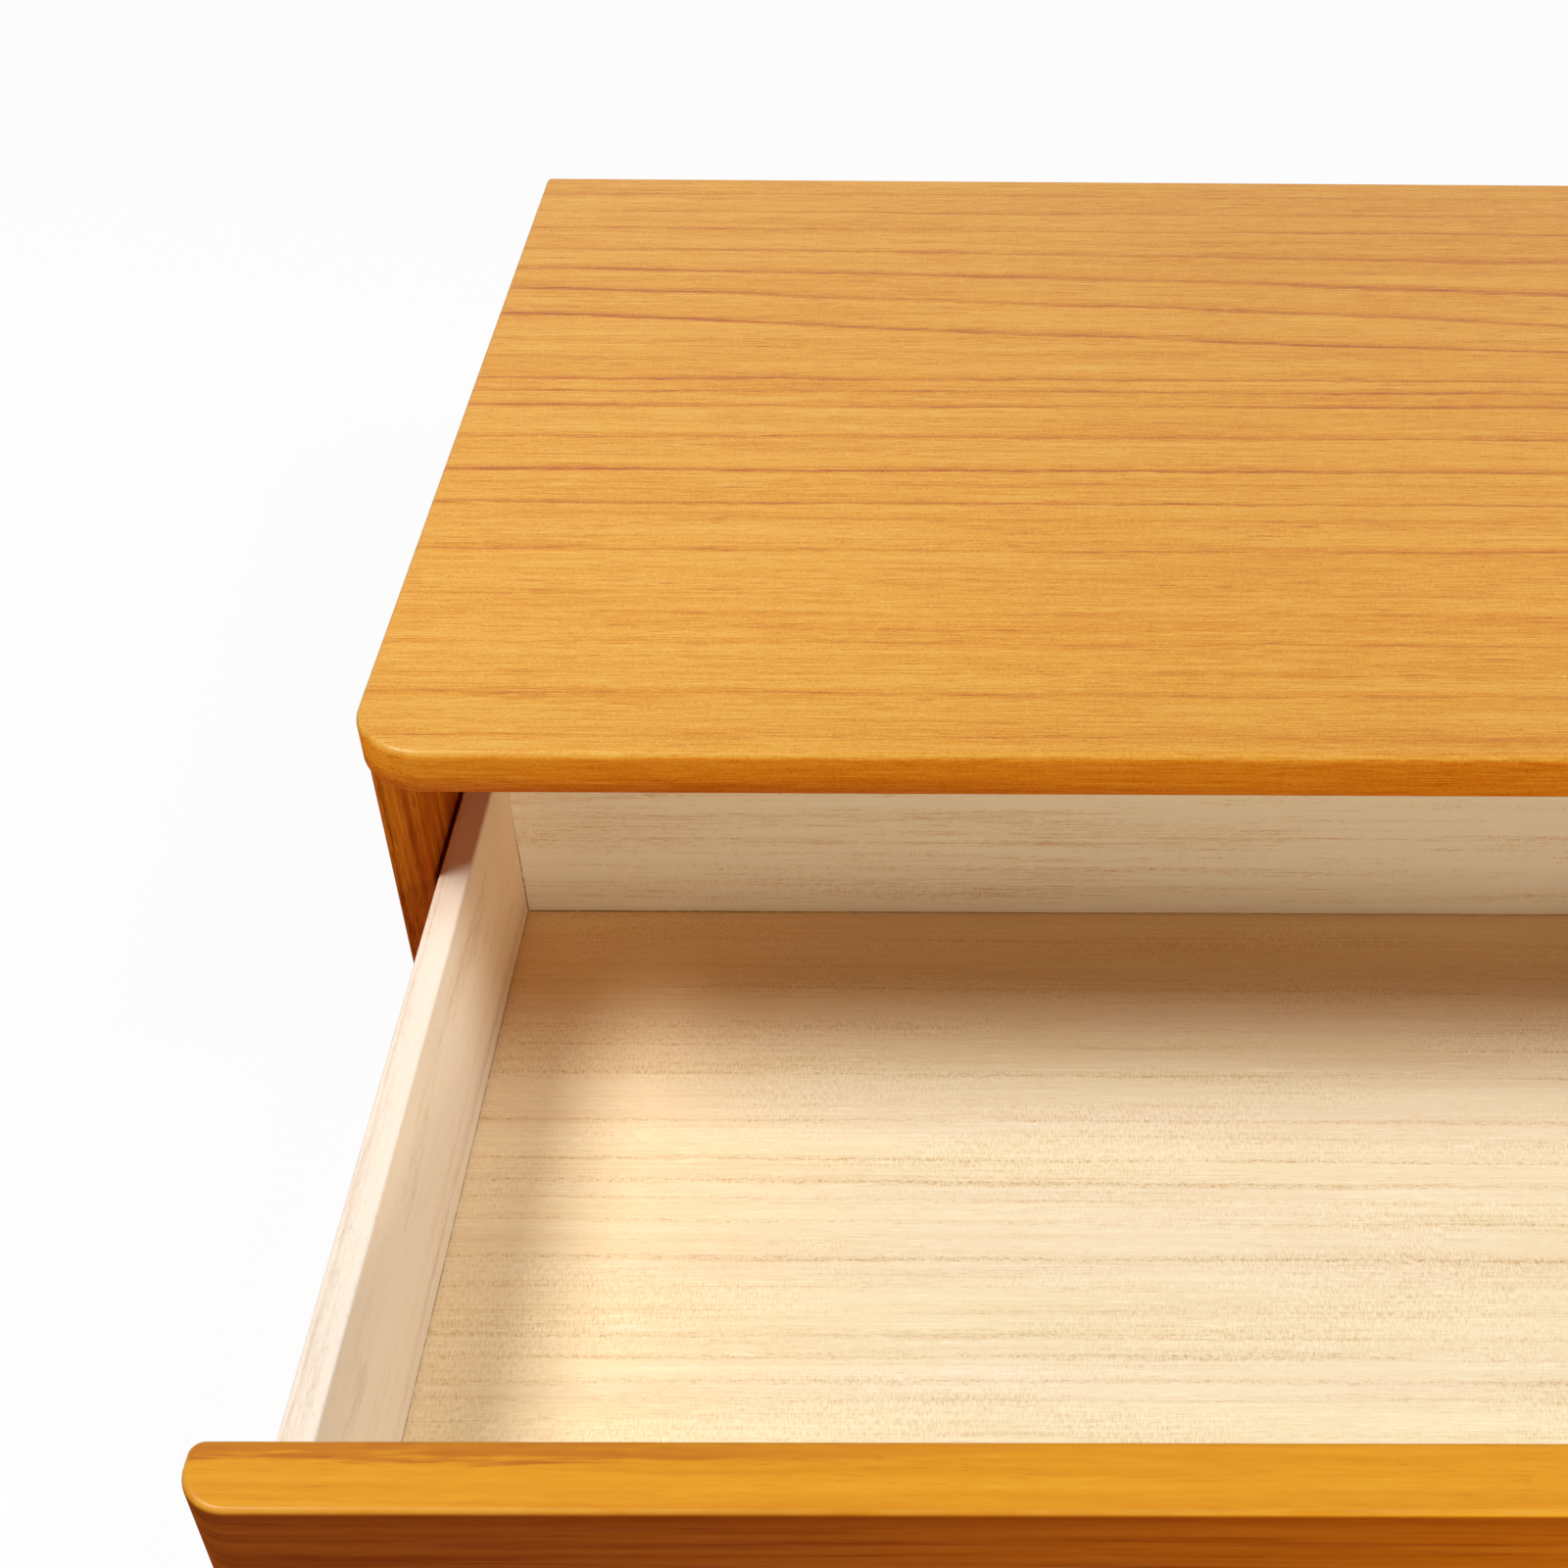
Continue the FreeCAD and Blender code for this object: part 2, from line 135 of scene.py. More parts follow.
def shade(red, green, blue):
    """A colour written as it looks on a screen, from 0 to 255, as Blender's linear values."""
    values = []
    for channel in (red, green, blue):
        part = channel / 255
        values.append(part / 12.92 if part <= 0.04045 else ((part + 0.055) / 1.055) ** 2.4)
    return (*values, 1.0)


def grey(value):
    return (value, value, value, 1.0)


class Finish:
    """A material under construction: its node tree, with short calls for the nodes in it."""

    def __init__(self, name):
        self.material = bpy.data.materials.new(name)
        self.material.use_nodes = True
        self.tree = self.material.node_tree
        self.tree.nodes.clear()
        self.coordinates = self.node("TexCoord")

    def node(self, kind, inputs=None, **settings):
        made = self.tree.nodes.new("ShaderNode" + kind)
        for name, value in settings.items():
            setattr(made, name, value)
        for key, value in (inputs or {}).items():
            if isinstance(value, bpy.types.NodeSocket):
                self.tree.links.new(value, made.inputs[key])
            else:
                made.inputs[key].default_value = value
        return made

    def math(self, operation, *values):
        return self.node("Math", dict(enumerate(values)), operation=operation).outputs[0]

    def plus(self, first, second):
        return self.math("ADD", first, second)

    def minus(self, first, second):
        return self.math("SUBTRACT", first, second)

    def times(self, first, second):
        return self.math("MULTIPLY", first, second)

    def scaled(self, value, factor, added):
        """A value multiplied by a factor, and then added to."""
        return self.math("MULTIPLY_ADD", value, factor, added)

    def vector(self, operation, *values):
        made = self.node("VectorMath", dict(enumerate(values)), operation=operation)
        return made.outputs["Value" if operation == "LENGTH" else "Vector"]

    def part(self, vector, axis):
        return self.node("SeparateXYZ", {0: vector}).outputs[axis]

    def millimetres(self):
        """The place in the object, in millimetres."""
        return self.vector("DIVIDE", self.coordinates.outputs["Object"], (MM, MM, MM))

    def looks_along(self, axis):
        """How far a face looks along an axis: 1 that way, -1 the other way."""
        return self.part(self.coordinates.outputs["Normal"], axis)

    def facing(self, axis):
        """How far a face looks along an axis, whichever way."""
        return self.math("ABSOLUTE", self.looks_along(axis))

    def noise(self, place, size, detail=2.0, roughness=0.5, offset=0.0):
        """Noise from 0 to 1, whose blotches have the given size in millimetres along each axis."""
        sized = self.vector("DIVIDE", place, size)
        if offset:
            sized = self.vector("ADD", sized, (offset, offset, offset))
        inputs = {"Vector": sized, "Scale": 1.0, "Detail": detail, "Roughness": roughness}
        return self.node("TexNoise", inputs).outputs["Fac"]

    def around_zero(self, value, reach):
        """A value from 0 to 1, moved to lie around zero, up to reach either way."""
        return self.scaled(value, 2 * reach, -reach)

    def ramp(self, factor, stops, interpolation="LINEAR"):
        made = self.node("ValToRGB", {"Fac": factor})
        made.color_ramp.interpolation = interpolation
        elements = made.color_ramp.elements
        while len(elements) < len(stops):
            elements.new(1.0)
        for element, (position, colour) in zip(elements, stops):
            element.position = position
            element.color = colour
        return made.outputs["Color"]

    def steps(self, value, low, high):
        """0 below low, 1 above high, and smooth between."""
        inputs = {"Value": value, "From Min": low, "From Max": high}
        return self.node("MapRange", inputs, interpolation_type="SMOOTHSTEP").outputs["Result"]

    def fall(self, value, low, high):
        """1 below low, 0 above high, and smooth between."""
        return self.minus(1.0, self.steps(value, low, high))

    def mix(self, factor, first, second, mode="MIX"):
        made = self.node("Mix", {0: factor, 6: first, 7: second}, data_type="RGBA", blend_type=mode)
        return made.outputs[2]

    def tinted(self, where, colour, tint):
        """A colour with its red, green and blue multiplied by a tint, as far as where says."""
        return self.mix(where, colour, (*tint, 1.0), mode="MULTIPLY")

    def close(self, surface):
        self.node("OutputMaterial", {"Surface": surface})
        return self.material


def wandering(finish, place, distance, wander):
    """A distance across the grain that drifts slowly, wiggles a little and frays, as year rings do."""
    slow, quick = wander
    frayed_by = 0.7
    drift = finish.around_zero(finish.noise(place, (330.0, 60.0, 60.0), detail=1.0), slow)
    wiggle = finish.around_zero(finish.noise(place, (42.0, 14.0, 14.0), detail=2.0), quick)
    fray = finish.around_zero(finish.noise(place, (7.0, 1.1, 1.1), detail=1.0, offset=2.0), frayed_by)
    return finish.plus(finish.plus(distance, drift), finish.plus(wiggle, fray))


def top_sweep(finish, place):
    """How far the lines in the top board's rear half bend forward, more and more to the right."""
    left_end, slope = -225.0, 0.08
    rising = finish.steps(finish.part(place, "Y"), 24.0, 44.0)
    falling = finish.fall(finish.part(place, "Y"), 36.0, 124.0)
    to_the_right = finish.math("MAXIMUM", finish.minus(finish.part(place, "X"), left_end), 0.0)
    return finish.times(finish.times(rising, falling), finish.times(to_the_right, slope))


def measured_lines(finish, across, rings):
    """Late-wood lines at measured places, each crisp towards the front and softly brown behind."""
    margin, crispness, softness = 20.0, 0.9, 0.38
    low, high = rings[0][0] - margin, rings[-1][0] + margin
    span = high - low
    halfway = [(first[0] + second[0]) / 2 for first, second in zip(rings, rings[1:])]
    starts = [0.0] + [(place - low) / span for place in halfway]
    stops = [(start, ((place - low) / span, strength, width, 1.0))
             for start, (place, strength, width) in zip(starts, rings)]
    position = finish.node("MapRange", {"Value": across, "From Min": low, "From Max": high})
    ring = finish.ramp(position.outputs["Result"], stops, "CONSTANT")
    nearest = finish.node("SeparateColor", {0: ring})
    place = finish.scaled(nearest.outputs["Red"], span, low)
    offset = finish.math("DIVIDE", finish.minus(across, place), nearest.outputs["Blue"])
    core = finish.fall(finish.math("ABSOLUTE", offset), 0.1, 1.5)
    behind = finish.times(finish.steps(offset, 0.0, 0.8), finish.fall(offset, 0.9, 4.8))
    shape = finish.scaled(behind, softness, finish.times(core, crispness))
    return finish.times(shape, nearest.outputs["Green"])


def counted_lines(finish, across, spacing):
    """Late-wood lines at an uneven spacing, each crisp on one side, some of them fainter."""
    unevenness, unevenness_length, faintest = 2.4, 3.1, 0.3
    inputs = {"W": finish.math("DIVIDE", across, spacing * unevenness_length), "Scale": 1.0}
    uneven = finish.node("TexNoise", inputs, noise_dimensions="1D").outputs["Fac"]
    count = finish.scaled(uneven, unevenness, finish.math("DIVIDE", across, spacing))
    profile = [(0.0, grey(0.02)), (0.55, grey(0.08)), (0.84, grey(0.38)), (0.92, grey(1.0)),
               (0.96, grey(1.0)), (1.0, grey(0.02))]
    line = finish.ramp(finish.math("FRACT", count), profile)
    inputs = {"W": finish.math("FLOOR", count)}
    own = finish.node("TexWhiteNoise", inputs, noise_dimensions="1D").outputs["Value"]
    return finish.times(line, finish.scaled(own, 1.0 - faintest, faintest))


def ring_lines(finish, place, rings, face, heart, wander, sweep):
    """A board's late-wood lines, fading in and out along the grain.

    Measured rings lie across the board and lean through its thickness below the given face. Otherwise
    they are round a heart, at (Y, Z) of the grain's own axes.
    """
    lean = 0.4
    if heart:
        moved = finish.vector("SUBTRACT", place, (0.0, *heart))
        distance = finish.vector("LENGTH", finish.vector("MULTIPLY", moved, (0.0, 1.0, 1.0)))
    else:
        depth = finish.minus(finish.part(place, "Z"), face)
        distance = finish.scaled(depth, lean, finish.part(place, "Y"))
    if sweep:
        distance = finish.plus(distance, sweep(finish, place))
    across = wandering(finish, place, distance, wander)
    if isinstance(rings, tuple):
        lines = measured_lines(finish, across, rings)
    else:
        lines = counted_lines(finish, across, rings)
    along = finish.noise(place, (80.0, 16.0, 16.0), detail=2.0, offset=7.0)
    return finish.times(lines, finish.scaled(along, 1.4, 0.3))


def frayed(finish, place, lines):
    """Year rings broken into fine fibres."""
    fibres = finish.noise(place, (8.0, 0.45, 0.45), detail=1.0, offset=19.0)
    return finish.times(lines, finish.scaled(fibres, 1.6, 0.2))


def dotted_with_pores(finish, place, lines):
    """Year rings as soft bands with rows of small pores in them."""
    pores = finish.steps(finish.noise(place, (0.9, 0.4, 0.4), detail=1.0, offset=11.0), 0.52, 0.66)
    return finish.times(lines, finish.scaled(pores, 1.1, 0.40))


def dashes_along(finish, place, size, patch, offset=0.0):
    """Short dashes along the grain, in patches of the given size: the dark pores or the light threads."""
    dash = finish.steps(finish.noise(place, size, detail=1.0, offset=offset), 0.60, 0.72)
    where = finish.steps(finish.noise(place, patch, detail=2.0, offset=3.0 + offset), 0.38, 0.62)
    return finish.times(dash, where)


def specks(finish, colour):
    """A few tiny pale specks of dust in the lacquer."""
    spread, core, edge, strength = 24.0, 0.20, 0.50, 0.6
    sized = finish.vector("DIVIDE", finish.millimetres(), (spread, spread, spread))
    spots = finish.node("TexVoronoi", {"Vector": sized, "Scale": 1.0, "Randomness": 1.0})
    spot = finish.fall(spots.outputs["Distance"], core / spread, edge / spread)
    return finish.mix(finish.times(spot, strength), colour, shade(255, 238, 200))


def cross_hatch(finish, place, reach):
    """The fine marks square to the grain that slicing leaves in veneer, in patches."""
    marks = finish.noise(place, (0.45, 1.7, 1.7), detail=0.0)
    where = finish.steps(finish.noise(place, (60.0, 12.0, 12.0), detail=1.0, offset=5.0), 0.38, 0.62)
    return finish.times(finish.around_zero(marks, reach), finish.scaled(where, 0.8, 0.2))


def wood(name, grain, tones, rings, line, roughness, face=0.0, heart=None, wander=(7.0, 1.6), sweep=None,
         layers=((190.0, 6.5, 0.16), (17.0, 0.6, 0.30), (3.4, 0.45, 0.25)),
         dashes=0.35, dash_size=(5.5, 0.42, 0.42), dash_patch=(60.0, 9.0, 9.0), threads=0.0,
         broken=frayed, hatch=0.0, specular=0.5, coat=0.0, upright_shade=None, details=()):
    """Sawn wood: year rings, streaks and fibres in layers, dark pores and light threads along the grain.

    tones are its light, middle and dark colours, layers the (length, width, reach) of each streak layer.
    broken is how its rings are broken up, hatch adds the fine cross marks of sliced veneer, coat is the
    lacquer on faces that look up or down, the upright tint is painted shade that darkens and deepens the
    upright faces, and details are drawn last.
    """
    base_tone, middle_tone = 0.25, 0.32
    pore_depth, tone_depth = -0.8, -0.4
    relief_strength, relief_depth = 0.22, 0.15 * MM
    coat_roughness = 0.30
    finish = Finish(name)
    turned = {"Vector": finish.millimetres(), "Rotation": GRAIN_TURN[grain]}
    place = finish.node("Mapping", turned).outputs["Vector"]
    lines = ring_lines(finish, place, rings, face, heart, wander, sweep)
    tone = finish.scaled(broken(finish, place, lines), line, base_tone)
    for index, (length, width, reach) in enumerate(layers):
        size = (length, width, width)
        streak = finish.noise(place, size, detail=2.0, roughness=0.6, offset=13.0 * index)
        tone = finish.plus(tone, finish.around_zero(streak, reach))
    dark_pores = dashes_along(finish, place, dash_size, dash_patch)
    tone = finish.scaled(dark_pores, dashes, tone)
    if threads:
        size, patch = (10.0, 0.45, 0.45), (50.0, 8.0, 8.0)
        light_threads = dashes_along(finish, place, size, patch, offset=23.0)
        tone = finish.scaled(light_threads, -threads, tone)
    if hatch:
        tone = finish.plus(tone, cross_hatch(finish, place, hatch))
    light, middle, dark = tones
    colour = finish.ramp(tone, [(0.0, light), (middle_tone, middle), (1.0, dark)])
    colour = finish.tinted(finish.steps(finish.facing(grain), 0.75, 0.97), colour, END_GRAIN)
    upward = finish.facing("Z")
    # Painted shade: the upright faces tinted darker and deeper than the faces that look up
    if upright_shade:
        colour = finish.tinted(finish.fall(upward, 0.15, 0.75), colour, upright_shade)
    for draw in details:
        colour = draw(finish, colour)
    height = finish.scaled(dark_pores, pore_depth, finish.times(tone, tone_depth))
    relief = {"Height": height, "Strength": relief_strength, "Distance": relief_depth}
    sockets = {
        "Base Color": colour,
        "Roughness": roughness,
        "Normal": finish.node("Bump", relief).outputs["Normal"],
        "Specular IOR Level": specular,
    }
    if coat:
        sockets["Coat Weight"] = finish.times(finish.math("POWER", upward, 4.0), coat)
        sockets["Coat Roughness"] = coat_roughness
    return finish.close(finish.node("BsdfPrincipled", sockets).outputs["BSDF"])


def steel(name):
    """Zinc plate with fine turning marks and a little tarnish."""
    finish = Finish(name)
    place = finish.millimetres()
    cloud = finish.noise(place, (1.4, 1.4, 1.4), detail=3.0)
    marks = finish.noise(place, (3.0, 0.12, 0.12), detail=2.0)
    relief = {"Height": marks, "Strength": 0.3, "Distance": 0.03 * MM}
    sockets = {
        "Base Color": finish.ramp(cloud, [(0.3, shade(150, 150, 146)), (0.7, shade(206, 205, 198))]),
        "Metallic": 1.0,
        "Roughness": finish.scaled(cloud, 0.25, 0.22),
        "Normal": finish.node("Bump", relief).outputs["Normal"],
    }
    return finish.close(finish.node("BsdfPrincipled", sockets).outputs["BSDF"])


def inside_gaps(finish):
    """A place, and how far it is from the drawer's inner side faces and from its inner end faces."""
    place = finish.millimetres()
    to_side = finish.minus(BOX_INNER_HALF, finish.math("ABSOLUTE", finish.part(place, "X")))
    along = finish.math("ABSOLUTE", finish.minus(finish.part(place, "Y"), BOX_MIDDLE))
    return place, to_side, finish.minus(BOX_INNER_LENGTH_HALF, along)


def painted_rear_shade(finish, colour):
    """Painted shade on the rear of the drawer's bare wood: browner towards the rear, under the top board."""
    rear = finish.steps(finish.part(finish.millimetres(), "Y"), -175.0, -105.0)
    return finish.tinted(rear, colour, (1.00, 0.88, 0.72))


def floor_joint_and_corner_shade(finish, colour):
    """The dark, slightly broken hairline where the drawer bottom enters the boards around it, with a faint
    painted shade on the bottom close to those boards.
    """
    corner_shade_strength = 0.10
    place, to_side, to_end = inside_gaps(finish)
    broken = finish.steps(finish.noise(place, (3.0, 3.0, 3.0), detail=3.0), 0.30, 0.60)
    side_line = finish.times(finish.fall(to_side, 0.1, 0.45), finish.scaled(broken, 0.38, 0.18))
    to_the_left = finish.fall(finish.part(place, "X"), -215.0, -40.0)
    end_line = finish.times(finish.fall(to_end, 0.2, 0.75), finish.scaled(broken, 0.25, 0.22))
    end_line = finish.times(end_line, finish.scaled(to_the_left, 1.2, 0.8))
    # Painted shade: the bottom a little darker within 2.5 mm of the boards around it
    corner_shade = finish.fall(finish.math("MINIMUM", to_side, to_end), 0.0, 2.5)
    colour = finish.mix(finish.times(corner_shade, corner_shade_strength), colour, shade(140, 88, 44))
    return finish.mix(finish.math("MAXIMUM", side_line, end_line), colour, shade(84, 48, 22))


def box_joints_and_lip_highlight(finish, colour):
    """The hairlines in the drawer's inner corners, and a painted highlight along the lower edge of its
    boards, just over its bottom.
    """
    lip_highlight_strength, past_the_face = 0.75, -0.3
    place, to_side, to_end = inside_gaps(finish)
    inside = finish.math("GREATER_THAN", finish.math("MINIMUM", to_side, to_end), past_the_face)
    above_floor = finish.minus(finish.part(place, "Z"), BOTTOM_FACE)
    broken = finish.steps(finish.noise(place, (4.0, 4.0, 2.0), detail=3.0), 0.25, 0.62)
    corner = finish.fall(finish.math("MAXIMUM", to_side, to_end), 0.1, 0.45)
    low_down = finish.scaled(finish.fall(above_floor, 4.0, 40.0), 0.45, 0.22)
    corner = finish.times(corner, finish.times(low_down, finish.plus(broken, 0.4)))
    # Painted highlight: a pale line along the boards' lower edge, just over the drawer bottom
    lip_highlight = finish.times(finish.fall(above_floor, 0.9, 1.7), finish.steps(to_side, 0.0, 0.8))
    lip_highlight = finish.times(finish.times(lip_highlight, inside), lip_highlight_strength)
    colour = finish.mix(lip_highlight, colour, shade(255, 240, 220))
    return finish.mix(finish.times(corner, inside), colour, shade(112, 72, 38))


def front_shading(finish, colour):
    """A browner, streaky band along the rear of the front's upper face, stronger to the left."""
    browner = (0.62, 0.42, 0.60)
    place = finish.millimetres()
    streak = finish.noise(place, (24.0, 1.6, 1.6), detail=3.0, roughness=0.65)
    depth = finish.plus(finish.part(place, "Y"), finish.around_zero(streak, 4.6))
    band = finish.steps(depth, -322.6, -320.0)
    band = finish.times(band, finish.scaled(streak, 1.2, 0.35))
    to_the_left = finish.fall(finish.part(place, "X"), -190.0, -50.0)
    band = finish.times(band, finish.steps(finish.looks_along("Z"), 0.5, 0.9))
    band = finish.times(band, finish.scaled(to_the_left, 0.70, 0.06))
    return finish.tinted(band, colour, browner)


def front_bands_and_painted_light(finish, colour):
    """Darker, redder streaks along the grain of the front's outer face, and painted light that brightens
    that face towards the right.
    """
    painted_light_tint, redder = (1.75, 2.00, 0.60), (0.70, 0.55, 0.60)
    arris_height, arris_strength = 92.6, 0.7
    place = finish.millimetres()
    outward = finish.steps(finish.times(finish.looks_along("Y"), -1.0), 0.5, 0.9)
    # Painted light: the outer face brightened towards the right
    to_the_right = finish.times(outward, finish.steps(finish.part(place, "X"), -210.0, 70.0))
    colour = finish.tinted(to_the_right, colour, painted_light_tint)
    band = finish.noise(place, (90.0, 30.0, 2.6), detail=3.0, roughness=0.65, offset=4.0)
    band = finish.steps(band, 0.42, 0.70)
    under = finish.fall(finish.minus(arris_height, finish.part(place, "Z")), 0.0, 6.0)
    band = finish.math("MAXIMUM", band, finish.times(under, arris_strength))
    return finish.tinted(finish.times(band, outward), colour, redder)


def shaded_low_arris(finish, colour):
    """Painted shade on faces that look down, seen as a darker, redder line along the lower arris."""
    under = finish.times(finish.looks_along("Z"), -1.0)
    return finish.tinted(finish.steps(under, 0.05, 0.6), colour, (0.90, 0.62, 0.50))


def top_painted_shade(finish, colour):
    """Painted shade on the top board: a little deeper to the right and along the front."""
    place = finish.millimetres()
    to_the_right = finish.steps(finish.part(place, "X"), -170.0, 10.0)
    to_the_front = finish.fall(finish.part(place, "Y"), -150.0, -95.0)
    colour = finish.tinted(to_the_right, colour, (0.93, 0.89, 0.76))
    return finish.tinted(to_the_front, colour, (0.94, 0.93, 0.86))


def shaded_top_edge(finish, colour):
    """Painted shade on the top board's upright edge: deeper towards its lower arris and most so to the left.
    """
    place = finish.millimetres()
    streak = finish.around_zero(finish.noise(place, (40.0, 40.0, 1.2), detail=2.0), 2.5)
    low = finish.fall(finish.plus(finish.part(place, "Z"), streak), 118.5, 124.5)
    low = finish.times(low, finish.fall(finish.facing("Z"), 0.2, 0.8))
    to_the_left = finish.scaled(finish.fall(finish.part(place, "X"), -180.0, 60.0), 0.85, 0.15)
    return finish.tinted(finish.times(low, to_the_left), colour, (0.67, 0.46, 0.62))


def rosy_bands(finish, colour):
    """The wide, faintly rosy bands that lie between the yellower ones of the veneer."""
    band = finish.noise(finish.millimetres(), (260.0, 15.0, 15.0), detail=2.0, offset=9.0)
    return finish.tinted(finish.steps(band, 0.34, 0.70), colour, (0.99, 0.975, 1.03))


def warm_shade_beside(finish, colour):
    """Painted warm shade on the drawer bottom beside the drawer's sides."""
    _, to_side, _ = inside_gaps(finish)
    return finish.tinted(finish.fall(to_side, 20.0, 130.0), colour, (1.06, 0.99, 0.91))


def painted_arris_highlight(finish, colour):
    """A painted highlight: a paler, uneven line along the upper arris."""
    strength = 0.30
    up = finish.looks_along("Z")
    line = finish.times(finish.steps(up, 0.40, 0.70), finish.fall(up, 0.90, 0.985))
    uneven = finish.noise(finish.millimetres(), (14.0, 14.0, 14.0), detail=4.0, roughness=0.65, offset=6.0)
    arris_highlight = finish.times(line, finish.times(finish.steps(uneven, 0.20, 0.80), strength))
    return finish.mix(arris_highlight, colour, shade(246, 196, 104))


def deeper_below(finish, colour):
    """The side panels, redder and darker towards the desk, with a streaky change."""
    place = finish.millimetres()
    streak = finish.around_zero(finish.noise(place, (4.0, 4.0, 60.0), detail=2.0), 60.0)
    low = finish.fall(finish.plus(finish.part(place, "Z"), streak), 50.0, 118.0)
    return finish.tinted(low, colour, (0.66, 0.42, 0.60))


# Each wood's light, middle and dark colours, the painted shade tints for upright faces, and the end grain
# tint
HONEY_TOP = (shade(240, 184, 86), shade(228, 157, 48), shade(176, 78, 28))
HONEY_FRONT = (shade(236, 172, 44), shade(220, 146, 26), shade(156, 76, 12))
HONEY_PANEL = (shade(228, 154, 54), shade(200, 117, 34), shade(118, 54, 14))
PALE = (shade(253, 242, 225), shade(252, 237, 218), shade(206, 166, 126))
PALE_INNER = (shade(255, 250, 232), shade(253, 244, 221), shade(206, 160, 110))
VENEER = (shade(252, 241, 208), shade(243, 225, 185), shade(200, 160, 98))
PLYWOOD = (shade(226, 196, 152), shade(212, 178, 130), shade(168, 124, 78))
HARDWOOD = (shade(216, 176, 126), shade(200, 156, 104), shade(140, 96, 56))
EDGE_UPRIGHT_SHADE = (1.15, 0.84, 0.46)
PANEL_UPRIGHT_SHADE = (1.00, 0.86, 0.60)
FRONT_UPRIGHT_SHADE = (0.49, 0.27, 0.85)
END_GRAIN = (0.80, 0.70, 0.58)


def finish_by_node():
    """Every node's own finish, by its name."""
    zinc = steel("zinc_plate")
    pale = {"line": 0.26, "rings": 9.0, "roughness": 0.62, "specular": 0.15, "dashes": 0.30}
    honey = {"roughness": 0.40, "specular": 0.0}
    top = wood("honey_lacquer_top", "X", HONEY_TOP, rings=TOP_RINGS, face=TOP_FACE, wander=(2.6, 1.2),
               sweep=top_sweep, line=0.62, coat=0.75, upright_shade=EDGE_UPRIGHT_SHADE, threads=0.26, dashes=0.42,
               dash_size=(11.0, 0.32, 0.32), dash_patch=(45.0, 10.0, 10.0),
               layers=((190.0, 7.0, 0.26), (60.0, 1.4, 0.20), (24.0, 0.5, 0.44),
                       (5.0, 0.36, 0.36), (0.9, 0.38, 0.44)),
               details=(top_painted_shade, shaded_top_edge, shaded_low_arris, painted_arris_highlight, specks), **honey)
    front = wood("honey_lacquer_front", "X", HONEY_FRONT, rings=7.0, line=0.19,
                 heart=(-150.0, -60.0), coat=0.5, upright_shade=FRONT_UPRIGHT_SHADE, dashes=0.12,
                 layers=((160.0, 3.6, 0.18), (30.0, 1.6, 0.11), (9.0, 1.6, 0.10)),
                 details=(front_shading, front_bands_and_painted_light, shaded_low_arris, painted_arris_highlight), **honey)
    panels = wood("honey_lacquer_panels", "Z", HONEY_PANEL, rings=6.0, line=0.35,
                  heart=(40.0, 60.0), coat=0.2, upright_shade=PANEL_UPRIGHT_SHADE,
                  layers=((70.0, 2.6, 0.40), (16.0, 0.7, 0.30), (3.4, 0.45, 0.20)),
                  details=(deeper_below,), **honey)
    base = wood("honey_lacquer_base", "X", HONEY_PANEL, rings=10.0, line=0.4, heart=(60.0, -90.0), **honey)
    cross_boards = wood("pale_cross_boards", "X", PALE_INNER, heart=(140.0, 70.0),
                        layers=((170.0, 4.0, 0.60), (60.0, 1.0, 0.40), (16.0, 0.5, 0.40), (2.0, 0.4, 0.34)),
                        hatch=0.22, threads=0.34, dash_size=(3.4, 0.30, 0.30),
                        dash_patch=(30.0, 4.0, 4.0), details=(box_joints_and_lip_highlight,), **pale)
    strips = wood("pale_strips", "X", PALE_INNER, heart=(140.0, 70.0), **pale)
    side_boards = wood("pale_side_boards", "Y", PALE, heart=(160.0, 60.0),
                       layers=((120.0, 4.5, 0.30), (16.0, 0.7, 0.20), (3.0, 0.7, 0.18)),
                       dash_size=(2.2, 0.30, 0.30), dash_patch=(20.0, 6.0, 6.0),
                       details=(painted_rear_shade, box_joints_and_lip_highlight), **pale)
    bottom = wood("veneered_bottom", "X", VENEER, rings=BOTTOM_RINGS, face=BOTTOM_FACE, line=0.42,
                  wander=(3.0, 0.8), broken=dotted_with_pores, hatch=0.34, roughness=0.58,
                  specular=0.15, dashes=0.14, threads=0.34,
                  layers=((170.0, 9.0, 0.24), (60.0, 0.9, 0.26), (3.0, 0.4, 0.22)),
                  details=(rosy_bands, warm_shade_beside, painted_rear_shade, floor_joint_and_corner_shade))
    plywood = wood("bare_plywood", "X", PLYWOOD, rings=16.0, line=0.34, heart=(30.0, 210.0), hatch=0.3,
                   roughness=0.66)
    runners = wood("waxed_runner_wood", "Y", HARDWOOD, rings=4.0, line=0.3, heart=(12.0, 30.0),
                   roughness=0.42)
    rods = wood("beech_rods", "X", HARDWOOD, rings=3.0, line=0.3, heart=(9.0, 9.0), roughness=0.6)
    return {
        "top_board": top,
        "drawer_front": front,
        "left_side_panel": panels,
        "right_side_panel": panels,
        "bottom_panel": base,
        "back_panel": plywood,
        "rear_rail": strips,
        "left_stop_block": strips,
        "right_stop_block": strips,
        "left_runner": runners,
        "right_runner": runners,
        "top_dowels": rods,
        "bottom_dowels": rods,
        "rail_dowels": rods,
        "drawer_corner_pins": rods,
        "drawer_inner_front": cross_boards,
        "drawer_back": cross_boards,
        "drawer_left_side": side_boards,
        "drawer_right_side": side_boards,
        "drawer_bottom": bottom,
        "runner_screws": zinc,
        "drawer_front_screws": zinc,
        "back_panel_nails": zinc,
    }


